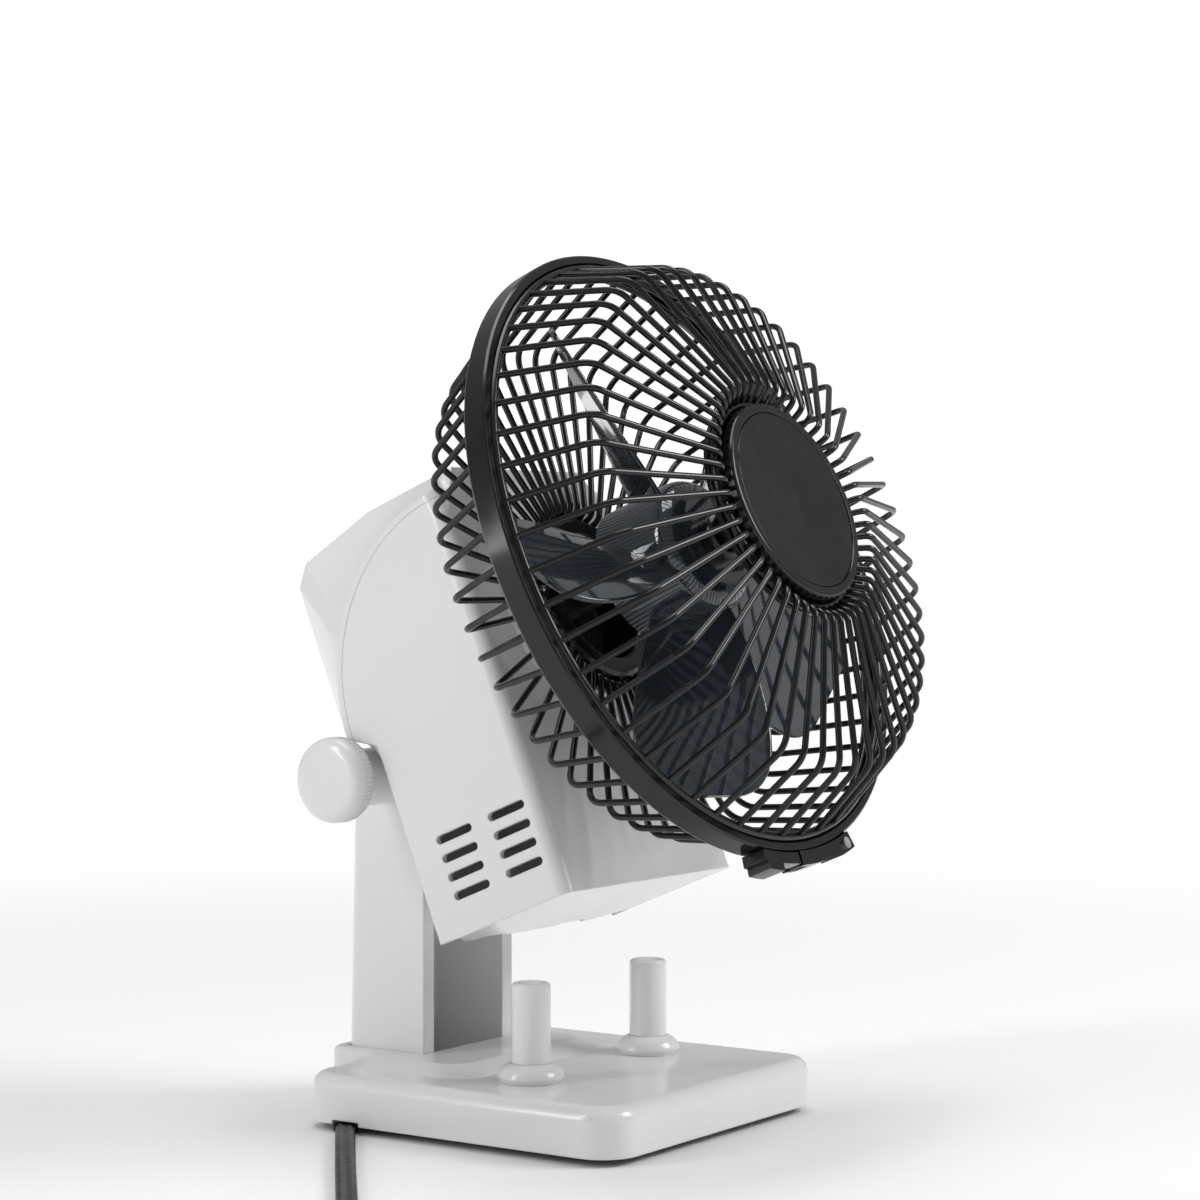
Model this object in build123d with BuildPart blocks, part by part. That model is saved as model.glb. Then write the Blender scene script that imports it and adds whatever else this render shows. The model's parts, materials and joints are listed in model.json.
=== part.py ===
from build123d import *
import math
import os

# A small desk fan: a weighted square base with two long push buttons, a channel
# column, and a tilting head with a boxy motor housing and a wire guard.
# Millimetres. +X is the right of the fan, the fan blows towards -Y, +Z is up.
# The origin is the centre of the square base, on the surface the feet stand on.

os.makedirs("parts", exist_ok=True)

# ---------------------------------------------------------------- driving sizes
FOOT_H = 2.5             # gap between the base shell and the table
BASE_W = 121.0           # square base
BASE_CORNER_R = 12.0
BASE_TOP = 17.7          # upper face of the base above the table
WALL = 2.4               # moulded wall thickness
HUMP_TOP = 20.2          # raised pad that carries the column
COLUMN_W = 48.0          # column channel, outside
COLUMN_T = 5.4
COLUMN_FRONT = 38.5
COLUMN_REAR = 71.0
BUTTON_X = 32.8
BUTTON_Y = -10.7
BUTTON_R = 6.1
BUTTON_TOP = 48.4
BUTTON_TRAVEL = 3.0
PIVOT = (0.0, 51.2, 109.9)   # tilt axis, parallel to X
TILT = 22.3                  # head tipped up from level at rest
AXIS_AHEAD = 115.2           # guard rim plane ahead of the tilt axis
AXIS_BELOW = 29.2            # tilt axis below the fan axis
HOUSE_W = 95.0
HOUSE_FRONT = -47.5
HOUSE_REAR = -99.3
HOUSE_BOTTOM = -90.2
HOUSE_TOP = 50.0
HOOD_REAR = -120.0
RIM_R = 100.0
RIM_W = 8.0
WIRE_R = 1.0
FRONT_WIRES = 55
REAR_WIRES = 54
BLADES = 5
BLADE_R = 81.0
FIT = 0.06               # radial running clearance
CORD_W = 6.2
CORD_T = 3.2

# ---------------------------------------------------------------- head frame
# Local axes of the head: x = X, y = up across the fan, z = forward along its axis.
# z = 0 is the rear edge of the guard rim.
tilt = math.radians(TILT)
forward = Vector(0, -math.cos(tilt), math.sin(tilt))
upward = Vector(0, math.sin(tilt), math.cos(tilt))
rim_centre = Vector(*PIVOT) + forward * AXIS_AHEAD + upward * AXIS_BELOW
HEAD = Plane(origin=rim_centre, x_dir=(1, 0, 0), z_dir=forward)
SIDE = Plane(origin=rim_centre, x_dir=forward, z_dir=(-1, 0, 0))
RADIAL = Plane(origin=rim_centre, x_dir=upward, z_dir=(1, 0, 0))
FAN_AXIS = Axis(rim_centre, forward)
TILT_AXIS = Axis(PIVOT, (1, 0, 0))


def side_at(x):
    """The head's side plane moved to the given X: local x = forward, y = up."""
    return SIDE.offset(-x)


def save(piece, name):
    """Label one finished piece and write its STEP file."""
    piece.label = name
    export_step(piece, f"parts/{name}.step")


# ================================================================ base
SHELL_BOTTOM = FOOT_H
INNER_W = BASE_W - 2 * WALL
INNER_TOP = BASE_TOP - WALL
BOSS_W = 58.0            # rear extension of the base under the column
BOSS_REAR = 75.5
PLATE_T = 2.0
PLATE_TOP = SHELL_BOTTOM + PLATE_T
SCREW_AT = 50.0
SCREW_Y = 20.0
CORD_EXIT = (-BASE_W / 2, 41.1)
CORD_DIR = (-0.772, -0.635)


def along_cord(distance):
    """A point on the cord's straight exit line, measured outward from the wall."""
    return (CORD_EXIT[0] + CORD_DIR[0] * distance, CORD_EXIT[1] + CORD_DIR[1] * distance)


def cord_plane(distance, height):
    """A plane across the cord: local x is level, local y is up."""
    across = (-CORD_DIR[1], CORD_DIR[0], 0)
    return Plane(origin=(*along_cord(distance), height), x_dir=across, z_dir=(*CORD_DIR, 0))


with BuildPart() as base_shell:
    with BuildSketch(Plane.XY.offset(SHELL_BOTTOM)):
        RectangleRounded(BASE_W, BASE_W, BASE_CORNER_R)
    extrude(amount=BASE_TOP - SHELL_BOTTOM)
    fillet(base_shell.faces().sort_by(Axis.Z)[-1].edges(), radius=4.5)
    # raised pad, sloping gently into the top
    with BuildSketch(Plane.XY.offset(BASE_TOP - 0.3)):
        with Locations((0, 31)):
            RectangleRounded(92, 54, 10)
    with BuildSketch(Plane.XY.offset(HUMP_TOP)):
        with Locations((0, 36)):
            RectangleRounded(70, 40, 8)
    loft()
    # extension behind the square that the column stands on
    with BuildSketch(Plane.XY.offset(SHELL_BOTTOM)):
        with Locations((0, (30 + BOSS_REAR) / 2)):
            RectangleRounded(BOSS_W, BOSS_REAR - 30, 7)
    extrude(amount=HUMP_TOP - SHELL_BOTTOM)
    boss_rim = base_shell.faces().sort_by(Axis.Z)[-1].edges().filter_by(lambda e: e.center().Y > 58)
    fillet(boss_rim, radius=2.0)
    # hollow inside
    with BuildSketch(Plane.XY.offset(SHELL_BOTTOM)):
        RectangleRounded(INNER_W, INNER_W, BASE_CORNER_R - WALL)
    extrude(amount=INNER_TOP - SHELL_BOTTOM, mode=Mode.SUBTRACT)
    with BuildSketch(Plane.XY.offset(SHELL_BOTTOM)):
        with Locations((0, (32 + BOSS_REAR - WALL) / 2)):
            RectangleRounded(BOSS_W - 2 * WALL, BOSS_REAR - WALL - 32, 4.6)
    extrude(amount=HUMP_TOP - WALL - SHELL_BOTTOM, mode=Mode.SUBTRACT)
    # screw posts for the base plate
    with BuildSketch(Plane.XY.offset(PLATE_TOP)):
        with GridLocations(2 * SCREW_AT, 2 * SCREW_Y, 2, 2):
            Circle(4.0)
    extrude(amount=INNER_TOP + 0.4 - PLATE_TOP)
    with BuildSketch(Plane.XY.offset(PLATE_TOP)):
        with GridLocations(2 * SCREW_AT, 2 * SCREW_Y, 2, 2):
            Circle(1.55)
    extrude(amount=8, mode=Mode.SUBTRACT)
    # opening that the column stands through
    with BuildSketch(Plane.XY.offset(INNER_TOP)):
        with Locations((0, (COLUMN_FRONT + COLUMN_REAR) / 2)):
            Rectangle(COLUMN_W + 0.2, COLUMN_REAR - COLUMN_FRONT + 0.2)
    extrude(amount=10, mode=Mode.SUBTRACT)
    # holes for the two button guides
    with BuildSketch(Plane.XY.offset(INNER_TOP - 1)):
        with Locations((-BUTTON_X, BUTTON_Y), (BUTTON_X, BUTTON_Y)):
            Circle(8.0)
    extrude(amount=8, mode=Mode.SUBTRACT)
    # low notch in the left wall over the cord
    with BuildSketch(cord_plane(-9, SHELL_BOTTOM)):
        Rectangle(CORD_W + 1.8, 2.6)
    extrude(amount=18, mode=Mode.SUBTRACT)
save(base_shell.part, "base_shell")

SLEEVE_LEN = 20.0
SLEEVE_END = -1.0        # the strain relief stops just inside the left wall
SLEEVE_NECK = 8.5        # its thin outer stretch, which passes under the wall
with BuildPart() as base_plate:
    with BuildSketch(Plane.XY.offset(SHELL_BOTTOM)):
        RectangleRounded(INNER_W - 0.4, INNER_W - 0.4, BASE_CORNER_R - WALL - 0.2)
        with Locations((0, (40 + BOSS_REAR - WALL - 0.2) / 2)):
            RectangleRounded(BOSS_W - 2 * WALL - 0.4, BOSS_REAR - WALL - 0.2 - 40, 4.4)
    extrude(amount=PLATE_T)
    with BuildSketch(Plane.XY.offset(SHELL_BOTTOM)):
        with GridLocations(2 * SCREW_AT, 2 * SCREW_Y, 2, 2):
            Circle(1.8)
    extrude(amount=PLATE_T, mode=Mode.SUBTRACT)
    # open corner that the strain relief and the cord lie in
    with BuildSketch(cord_plane(SLEEVE_END - SLEEVE_LEN - 1, SHELL_BOTTOM)):
        with Locations((-14.0, 0)):
            Rectangle(38.0, 2 * PLATE_T + 1)
    extrude(amount=SLEEVE_LEN + 20, mode=Mode.SUBTRACT)
save(base_plate.part, "base_plate")

with BuildPart() as base_screws:
    with BuildSketch(Plane.XY.offset(SHELL_BOTTOM - 1.6)):
        with GridLocations(2 * SCREW_AT, 2 * SCREW_Y, 2, 2):
            Circle(2.9)
    extrude(amount=1.6)
    with BuildSketch(Plane.XY.offset(SHELL_BOTTOM)):
        with GridLocations(2 * SCREW_AT, 2 * SCREW_Y, 2, 2):
            Circle(1.5)
    extrude(amount=9.5)
    with BuildSketch(Plane.XY.offset(SHELL_BOTTOM - 1.6)):
        with GridLocations(2 * SCREW_AT, 2 * SCREW_Y, 2, 2):
            Rectangle(3.4, 0.8)
            Rectangle(0.8, 3.4)
    extrude(amount=0.9, mode=Mode.SUBTRACT)
save(base_screws.part, "base_screws")

FOOT_SPOTS = [(-42, -46), (42, -46), (-40, 33), (42, 33), (0, 0)]   # the last is a centre pad
with BuildPart() as rubber_feet:
    with BuildSketch(Plane.XY):
        with Locations(*FOOT_SPOTS):
            Circle(6.0)
    extrude(amount=FOOT_H)
    fillet(rubber_feet.edges().group_by(Axis.Z)[0], radius=0.6)
save(rubber_feet.part, "rubber_feet")

with BuildPart() as ballast_plate:
    with BuildSketch(Plane.XY.offset(PLATE_TOP)):
        with Locations((0, -34)):
            RectangleRounded(84, 30, 4)
        with Locations((0, -8)):
            Rectangle(38, 36)
    extrude(amount=6.5)
save(ballast_plate.part, "ballast_plate")

# ---- buttons, their domed guides and the switches under them
GUIDE_BASE = BASE_TOP
with BuildPart() as button_guides:
    with BuildSketch(Plane.XZ):
        with BuildLine():
            bottom = Line((BUTTON_R + FIT, 12.5), (7.9, 12.5))
            sleeve = Line(bottom @ 1, (7.9, GUIDE_BASE))
            seat = Line(sleeve @ 1, (9.5, GUIDE_BASE))
            flare = Line(seat @ 1, (10.4, GUIDE_BASE + 1.6))
            dome = RadiusArc(flare @ 1, (7.0, GUIDE_BASE + 5.6), -5.2)
            lip = Line(dome @ 1, (BUTTON_R + FIT, GUIDE_BASE + 6.0))
            Line(lip @ 1, bottom @ 0)
        make_face()
    revolve(axis=Axis.Z)
guide_shape = button_guides.part
with BuildPart() as guides:
    with Locations((-BUTTON_X, BUTTON_Y, 0), (BUTTON_X, BUTTON_Y, 0)):
        add(guide_shape)
save(guides.part, "button_guides")

STEM_BOTTOM = 8.2
STEM_R = 2.4
DISH_DEPTH = 1.0         # finger dish in the button's end
DISH_R = 8.9


def make_button(x, name):
    """A long push button with a dished end and a thin stem into its switch."""
    with BuildPart() as button:
        with BuildSketch(Plane.XZ):
            with BuildLine():
                top = BUTTON_TOP
                start = Line((0, STEM_BOTTOM), (STEM_R, STEM_BOTTOM))
                stem = Line(start @ 1, (STEM_R, 14.5))
                step = Line(stem @ 1, (BUTTON_R, 14.5))
                shank = Line(step @ 1, (BUTTON_R, top - 1.2))
                crown = RadiusArc(shank @ 1, (BUTTON_R - 1.2, top), -1.2)
                centre = Line(crown @ 1, (0, top))
                Line(centre @ 1, start @ 0)
            make_face()
        revolve(axis=Axis.Z)
        with Locations((0, 0, top - DISH_DEPTH + DISH_R)):
            Sphere(DISH_R, mode=Mode.SUBTRACT)
    save(button.part.moved(Location((x, BUTTON_Y, 0))), name)


make_button(-BUTTON_X, "power_button")
make_button(BUTTON_X, "speed_button")

with BuildPart() as push_switches:
    with BuildSketch(Plane.XY.offset(PLATE_TOP)):
        with Locations((-BUTTON_X, BUTTON_Y), (BUTTON_X, BUTTON_Y)):
            Rectangle(15, 13)
    extrude(amount=6.2)
    with BuildSketch(Plane.XY.offset(PLATE_TOP + 0.5)):
        with Locations((-BUTTON_X, BUTTON_Y), (BUTTON_X, BUTTON_Y)):
            Circle(STEM_R + FIT)
    extrude(amount=6.2, mode=Mode.SUBTRACT)
save(push_switches.part, "push_switches")

with BuildPart() as switch_terminals:
    with BuildSketch(Plane.XY.offset(PLATE_TOP + 2.0)):
        for side in (-1, 1):
            with Locations((side * (BUTTON_X + 9.0), BUTTON_Y)):
                with GridLocations(0, 6, 1, 2):
                    Rectangle(3.0, 2.4)
    extrude(amount=0.8)
save(switch_terminals.part, "switch_terminals")

with BuildPart() as terminal_block:
    with BuildSketch(Plane.XY.offset(PLATE_TOP)):
        with Locations((0, 24)):
            Rectangle(26, 11)
    extrude(amount=8)
    with BuildSketch(Plane.XY.offset(PLATE_TOP + 8)):
        with Locations((0, 24)):
            with GridLocations(8, 5.4, 3, 2):
                Circle(1.4)
    extrude(amount=-4, mode=Mode.SUBTRACT)
save(terminal_block.part, "terminal_block")

# ================================================================ column
COLUMN_MID = (COLUMN_FRONT + COLUMN_REAR) / 2
with BuildPart() as column:
    with BuildSketch(Plane.YZ):
        with BuildLine():
            foot = Line((COLUMN_FRONT, 10.0), (COLUMN_REAR, 10.0))
            back = Line(foot @ 1, (COLUMN_REAR, HUMP_TOP))
            taper = Line(back @ 1, (69.2, 95.0))
            shoulder = Line(taper @ 1, (PIVOT[1] + 12.7, PIVOT[2]))
            crown = ThreePointArc(
                shoulder @ 1, (PIVOT[1], PIVOT[2] + 12.7), (COLUMN_FRONT, PIVOT[2]))
            Line(crown @ 1, foot @ 0)
        make_face()
    extrude(amount=COLUMN_W / 2, both=True)
    rear_edges = column.edges().filter_by(lambda e: e.center().Y > 69 and e.length > 60)
    fillet(rear_edges, radius=4.6)
    with BuildSketch(Plane.XY.offset(9)):
        with Locations((0, (30 + COLUMN_REAR - COLUMN_T) / 2)):
            Rectangle(COLUMN_W - 2 * COLUMN_T, COLUMN_REAR - COLUMN_T - 30)
    extrude(amount=120, mode=Mode.SUBTRACT)
    # the back wall stops below the pivot so that the head can swing over it
    with BuildSketch(Plane.XY.offset(94)):
        with Locations((0, 64)):
            Rectangle(COLUMN_W - 2 * COLUMN_T, 20)
    extrude(amount=40, mode=Mode.SUBTRACT)
    # foot flange under the base top
    with BuildSketch(Plane.XY.offset(10.0)):
        with Locations((0, COLUMN_MID)):
            RectangleRounded(BOSS_W - 2 * WALL - 1.2, COLUMN_REAR - COLUMN_FRONT + 3.0, 3)
    extrude(amount=2.8)
    with BuildSketch(Plane.XY.offset(9)):
        with Locations((0, 59)):
            Rectangle(20, 8)
    extrude(amount=6, mode=Mode.SUBTRACT)
    # pivot bores
    with BuildSketch(Plane.YZ.offset(-40)):
        with Locations((PIVOT[1], PIVOT[2])):
            Circle(3.0 + FIT)
    extrude(amount=80, mode=Mode.SUBTRACT)
save(column.part, "column")

POST_SPOTS = [(-21.3, 44.0), (21.3, 44.0), (-21.3, 62.0), (21.3, 62.0)]
with BuildPart() as column_posts:
    with BuildSketch(Plane.XY.offset(PLATE_TOP)):
        with Locations(*POST_SPOTS):
            Circle(3.4)
    extrude(amount=10.0 - PLATE_TOP)
save(column_posts.part, "column_posts")

# ================================================================ tilt knob
KNOB_INNER = -49.5
KNOB_OUTER = -58.0
KNOB_R = 13.6
NECK_R = 9.3
BOLT_R = 3.0
AT_PIVOT = Plane(origin=PIVOT, x_dir=(0, 1, 0), z_dir=(1, 0, 0))


def pivot_plane(x):
    """A plane across the tilt axis at the given X."""
    return AT_PIVOT.offset(x)


with BuildPart() as tilt_knob:
    with BuildSketch(pivot_plane(KNOB_OUTER)):
        Circle(KNOB_R)
    extrude(amount=KNOB_INNER - KNOB_OUTER)
    outer_rim = tilt_knob.faces().sort_by(Axis.X)[0].edges()
    fillet(outer_rim, radius=4.0)
    inner_rim = tilt_knob.faces().sort_by(Axis.X)[-1].edges()
    fillet(inner_rim, radius=1.2)
    with BuildSketch(pivot_plane(-COLUMN_W / 2 - 0.3)):
        Circle(NECK_R)
    extrude(amount=KNOB_INNER + COLUMN_W / 2 - 0.7)
    # fine grip ribs around the rim
    with BuildSketch(pivot_plane(KNOB_INNER - 0.9)):
        with PolarLocations(KNOB_R + 0.22, 60):
            Circle(0.5)
    extrude(amount=-3.6, mode=Mode.SUBTRACT)
    with BuildSketch(pivot_plane(-COLUMN_W / 2 - 0.3)):
        Circle(BOLT_R)
    extrude(amount=-22, mode=Mode.SUBTRACT)
save(tilt_knob.part, "tilt_knob")

NUT_X = COLUMN_W / 2 + 0.9
with BuildPart() as pivot_bolt:
    with BuildSketch(pivot_plane(-COLUMN_W / 2 - 22.3)):
        Circle(BOLT_R)
    extrude(amount=COLUMN_W + 22.3 + 6.0)
save(pivot_bolt.part, "pivot_bolt")

with BuildPart() as pivot_washers:
    with BuildSketch(pivot_plane(COLUMN_W / 2)):
        Circle(7.0)
        Circle(BOLT_R + FIT, mode=Mode.SUBTRACT)
    extrude(amount=0.8)
save(pivot_washers.part, "pivot_washer")

with BuildPart() as cap_nut:
    with BuildSketch(pivot_plane(NUT_X)):
        Circle(8.4)
    extrude(amount=7.5)
    fillet(cap_nut.faces().sort_by(Axis.X)[-1].edges(), radius=3.2)
    with BuildSketch(pivot_plane(NUT_X)):
        Circle(BOLT_R + FIT)
    extrude(amount=5.6, mode=Mode.SUBTRACT)
save(cap_nut.part, "cap_nut")

# ================================================================ motor housing
SIDE_FLAT = 35.0         # half width of the flat middle of the hood
ARC_S = -50.0            # centre of the side wall's rounded rear outline
ARC_V = -18.0
ARC_R = 60.0
MID_HALF = HOUSE_W / 2
HOUSE_T = 2.2


def middle_outline():
    """Side view of the housing across its flat middle: hood, underside and box."""
    Polyline(
        (HOUSE_FRONT, HOUSE_BOTTOM), (HOUSE_REAR, HOUSE_BOTTOM), (HOUSE_REAR, -24.0),
        (HOOD_REAR, -13.0), (HOOD_REAR, 38.0), (-114.5, 44.5), (-84.0, HOUSE_TOP),
        (HOUSE_FRONT, HOUSE_TOP), close=True)


def side_outline():
    """Side view at the side walls, where the hood's rear outline is one round arc."""
    start = (ARC_S - ARC_R, ARC_V)
    end = (ARC_S, ARC_V + ARC_R)
    angles = [math.radians(a) for a in (30.0, 62.0)]
    cuts = [(ARC_S - ARC_R * math.cos(a), ARC_V + ARC_R * math.sin(a)) for a in angles]
    Polyline(end, (HOUSE_FRONT, ARC_V + ARC_R), (HOUSE_FRONT, HOUSE_BOTTOM),
             (HOUSE_REAR, HOUSE_BOTTOM), (HOUSE_REAR, -24.0), start)
    RadiusArc(start, cuts[0], ARC_R)
    RadiusArc(cuts[0], cuts[1], ARC_R)
    RadiusArc(cuts[1], end, ARC_R)


def housing_form(inset):
    """The housing's outer form, or the same form pulled in by a wall thickness."""
    with BuildPart() as form:
        flat = SIDE_FLAT - 0.6 * inset
        with BuildSketch(side_at(-flat)) as middle:
            with BuildLine():
                middle_outline()
            make_face()
            if inset:
                offset(amount=-inset, kind=Kind.INTERSECTION, mode=Mode.REPLACE)
        extrude(amount=-2 * flat)
        for side in (-1, 1):
            with BuildSketch(side_at(side * flat)):
                with BuildLine():
                    middle_outline()
                make_face()
                if inset:
                    offset(amount=-inset, kind=Kind.INTERSECTION, mode=Mode.REPLACE)
            with BuildSketch(side_at(side * (MID_HALF - inset))):
                with BuildLine():
                    side_outline()
                make_face()
                if inset:
                    offset(amount=-inset, kind=Kind.INTERSECTION, mode=Mode.REPLACE)
            loft(ruled=True)
    return form.part


outer_form = housing_form(0)
inner_form = housing_form(HOUSE_T)

POCKET_HALF = 26.5       # room for the top of the column under the hood
POCKET_TOP = -12.5
BOSS_R = 26.3            # round boss on the housing's front wall
BOSS_FRONT = -34.0
SEAT_R = 31.0            # shoulder that the rear guard sits on
SEAT_FRONT = -39.0
BOSS_BORE = 21.5
SHAFT_R = 3.0


def across_fan(s):
    """A plane across the fan axis: local x = X, local y = up."""
    return HEAD.offset(s)


def pocket(grow):
    """The column's pocket, or the same pocket grown by a wall thickness."""
    with BuildPart() as room:
        with BuildSketch(side_at(-POCKET_HALF - grow)):
            with BuildLine():
                Polyline(
                    (HOUSE_REAR + grow, POCKET_TOP + grow), (HOUSE_REAR + grow, -60.0),
                    (-140.0, -60.0), (-140.0, POCKET_TOP + grow), close=True)
            make_face()
        extrude(amount=-2 * (POCKET_HALF + grow))
    return room.part


def body_region():
    """Everything in front of and below the hood's parting line."""
    seam = ARC_R - HOUSE_T
    with BuildPart() as region:
        with BuildSketch(side_at(-60)):
            with BuildLine():
                Polyline(
                    (ARC_S, ARC_V + seam), (HOUSE_FRONT + 2, ARC_V + seam),
                    (HOUSE_FRONT + 2, HOUSE_BOTTOM - 2), (ARC_S - seam, HOUSE_BOTTOM - 2),
                    (ARC_S - seam, ARC_V))
                RadiusArc((ARC_S - seam, ARC_V), (ARC_S, ARC_V + seam), seam)
            make_face()
        extrude(amount=-120)
    return region.part


with BuildPart() as walls:
    add(outer_form)
    front_corners = walls.edges().filter_by(
        lambda e: abs(HEAD.to_local_coords(e.center()).Z - HOUSE_FRONT) < 0.1
        and abs(HEAD.to_local_coords(e.center()).X) > MID_HALF - 0.1)
    fillet(front_corners, radius=4.0)
    add(pocket(0), mode=Mode.SUBTRACT)
    inside = inner_form - pocket(HOUSE_T)
    add(inside, mode=Mode.SUBTRACT)
wall_part = walls.part
region_part = body_region()

VENT_ROWS = (-59.6, -65.7, -71.8, -77.9)
VENT_COLUMNS = (-81.2, -59.6)
with BuildPart() as housing_shell:
    add(wall_part)
    add(region_part, mode=Mode.INTERSECT)
    with BuildSketch(across_fan(HOUSE_FRONT - HOUSE_T)):
        Circle(BOSS_R)
    extrude(amount=BOSS_FRONT - HOUSE_FRONT + HOUSE_T)
    with BuildSketch(across_fan(HOUSE_FRONT - HOUSE_T)):
        Circle(SEAT_R)
    extrude(amount=SEAT_FRONT - HOUSE_FRONT + HOUSE_T)
    with BuildSketch(across_fan(HOUSE_FRONT - HOUSE_T - 1)):
        Circle(BOSS_BORE)
    extrude(amount=30, mode=Mode.SUBTRACT)
    # cooling slots low on both side walls
    for side in (-1, 1):
        with BuildSketch(side_at(side * (MID_HALF - 4))):
            for column_s in VENT_COLUMNS:
                for row_v in VENT_ROWS:
                    with Locations((column_s, row_v)):
                        SlotOverall(14.6, 2.7)
        extrude(amount=-side * 6, mode=Mode.SUBTRACT)
    # half-round reliefs for the column in the lower rear edge
    with BuildSketch(across_fan(HOUSE_REAR - 1)):
        with Locations((-21.3, HOUSE_BOTTOM), (21.3, HOUSE_BOTTOM)):
            SlotOverall(14.0, 7.0)
    extrude(amount=HOUSE_T + 1.2, mode=Mode.SUBTRACT)
    # holes for the pivot block screws
    with BuildSketch(across_fan(HOUSE_REAR - 1)):
        with Locations((-11, -36), (11, -36)):
            Circle(1.7)
    extrude(amount=HOUSE_T + 2, mode=Mode.SUBTRACT)
save(housing_shell.part, "housing_shell")

with BuildPart() as rear_hood:
    add(wall_part)
    add(region_part, mode=Mode.SUBTRACT)
save(rear_hood.part, "rear_hood")

BLOCK_HALF = 18.2
with BuildPart() as pivot_block:
    with BuildSketch(side_at(-BLOCK_HALF)):
        with Locations((-AXIS_AHEAD, -AXIS_BELOW)):
            Circle(11.0)
        with Locations(((HOUSE_REAR - AXIS_AHEAD) / 2, -AXIS_BELOW)):
            Rectangle(AXIS_AHEAD + HOUSE_REAR, 22.0)
    extrude(amount=-2 * BLOCK_HALF)
    with BuildSketch(pivot_plane(-30)):
        Circle(BOLT_R + FIT)
    extrude(amount=60, mode=Mode.SUBTRACT)
    with BuildSketch(across_fan(HOUSE_REAR)):
        with Locations((-11, -36), (11, -36)):
            Circle(1.3)
    extrude(amount=-7, mode=Mode.SUBTRACT)
save(pivot_block.part, "pivot_block")

with BuildPart() as block_screws:
    with BuildSketch(across_fan(HOUSE_REAR + HOUSE_T)):
        with Locations((-11, -36), (11, -36)):
            Circle(3.0)
    extrude(amount=1.8)
    with BuildSketch(across_fan(HOUSE_REAR + HOUSE_T)):
        with Locations((-11, -36), (11, -36)):
            Circle(1.3)
    extrude(amount=-HOUSE_T - 6)
save(block_screws.part, "pivot_block_screws")

# ================================================================ motor
STACK_REAR = -86.0
STACK_FRONT = -66.0
STACK_W = 62.0
POLE_FACE_R = 16.4
ROTOR_R = 16.0
SHIELD_T = 2.0
FRONT_SHIELD = -58.0     # rear face of the front shield
REAR_SHIELD = -94.0
CORNERS = (-26.0, 26.0)


def corner_spots():
    """The four corner positions shared by the stack, shields and mounts."""
    return [(x, y) for x in CORNERS for y in CORNERS]


with BuildPart() as stator_stack:
    with BuildSketch(across_fan(STACK_REAR)):
        RectangleRounded(STACK_W, STACK_W, 4)
        Circle(27.2, mode=Mode.SUBTRACT)
        with PolarLocations(0, 4):
            with Locations((21.9, 0)):
                Rectangle(11.8, 12.0)
        with PolarLocations(0, 4):
            with Locations((17.6, 0)):
                Rectangle(3.0, 17.0)
        Circle(POLE_FACE_R, mode=Mode.SUBTRACT)
        with Locations(*corner_spots()):
            Circle(1.6, mode=Mode.SUBTRACT)
    extrude(amount=STACK_FRONT - STACK_REAR)
save(stator_stack.part, "stator_stack")

with BuildPart() as windings:
    with BuildSketch(across_fan(STACK_REAR - 4.5)):
        with PolarLocations(0, 4):
            with Locations((22.4, 0)):
                Rectangle(5.0, 19.0)
    extrude(amount=STACK_FRONT - STACK_REAR + 9)
    with BuildSketch(across_fan(STACK_REAR)):
        with PolarLocations(0, 4):
            with Locations((22.4, 0)):
                Rectangle(5.6, 12.0)
    extrude(amount=STACK_FRONT - STACK_REAR, mode=Mode.SUBTRACT)
save(windings.part, "copper_windings")


def motor_shield(s, name):
    """A pressed end shield with a raised bearing cup, facing forward."""
    with BuildPart() as shield:
        with BuildSketch(across_fan(s)):
            RectangleRounded(58, 58, 6)
            Circle(6.1, mode=Mode.SUBTRACT)
            with Locations(*corner_spots()):
                Circle(1.6, mode=Mode.SUBTRACT)
            with PolarLocations(16, 8):
                Circle(3.2, mode=Mode.SUBTRACT)
        extrude(amount=SHIELD_T)
        with BuildSketch(across_fan(s + SHIELD_T)):
            Circle(8.5)
            Circle(6.1, mode=Mode.SUBTRACT)
        extrude(amount=4)
    save(shield.part, name)


motor_shield(FRONT_SHIELD, "motor_front_shield")
motor_shield(REAR_SHIELD, "motor_rear_shield")

with BuildPart() as bearings:
    for s in (FRONT_SHIELD, REAR_SHIELD):
        with BuildSketch(across_fan(s)):
            Circle(6.1)
            Circle(SHAFT_R + FIT, mode=Mode.SUBTRACT)
        extrude(amount=6)
save(bearings.part, "bearings")

with BuildPart() as motor_bolts:
    with BuildSketch(across_fan(REAR_SHIELD - 2)):
        with Locations(*corner_spots()):
            Circle(3.0)
    extrude(amount=2)
    with BuildSketch(across_fan(REAR_SHIELD)):
        with Locations(*corner_spots()):
            Circle(1.6)
    extrude(amount=FRONT_SHIELD + SHIELD_T - REAR_SHIELD)
save(motor_bolts.part, "motor_bolts")

with BuildPart() as stack_spacers:
    for start, end in ((REAR_SHIELD + SHIELD_T, STACK_REAR), (STACK_FRONT, FRONT_SHIELD)):
        with BuildSketch(across_fan(start)):
            with Locations(*corner_spots()):
                Circle(3.2)
                Circle(1.6, mode=Mode.SUBTRACT)
        extrude(amount=end - start)
save(stack_spacers.part, "stack_spacers")

with BuildPart() as motor_mounts:
    with BuildSketch(across_fan(FRONT_SHIELD + SHIELD_T)):
        with Locations(*corner_spots()):
            Circle(4.0)
    extrude(amount=HOUSE_FRONT - HOUSE_T - FRONT_SHIELD - SHIELD_T)
save(motor_mounts.part, "motor_mounts")

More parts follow.
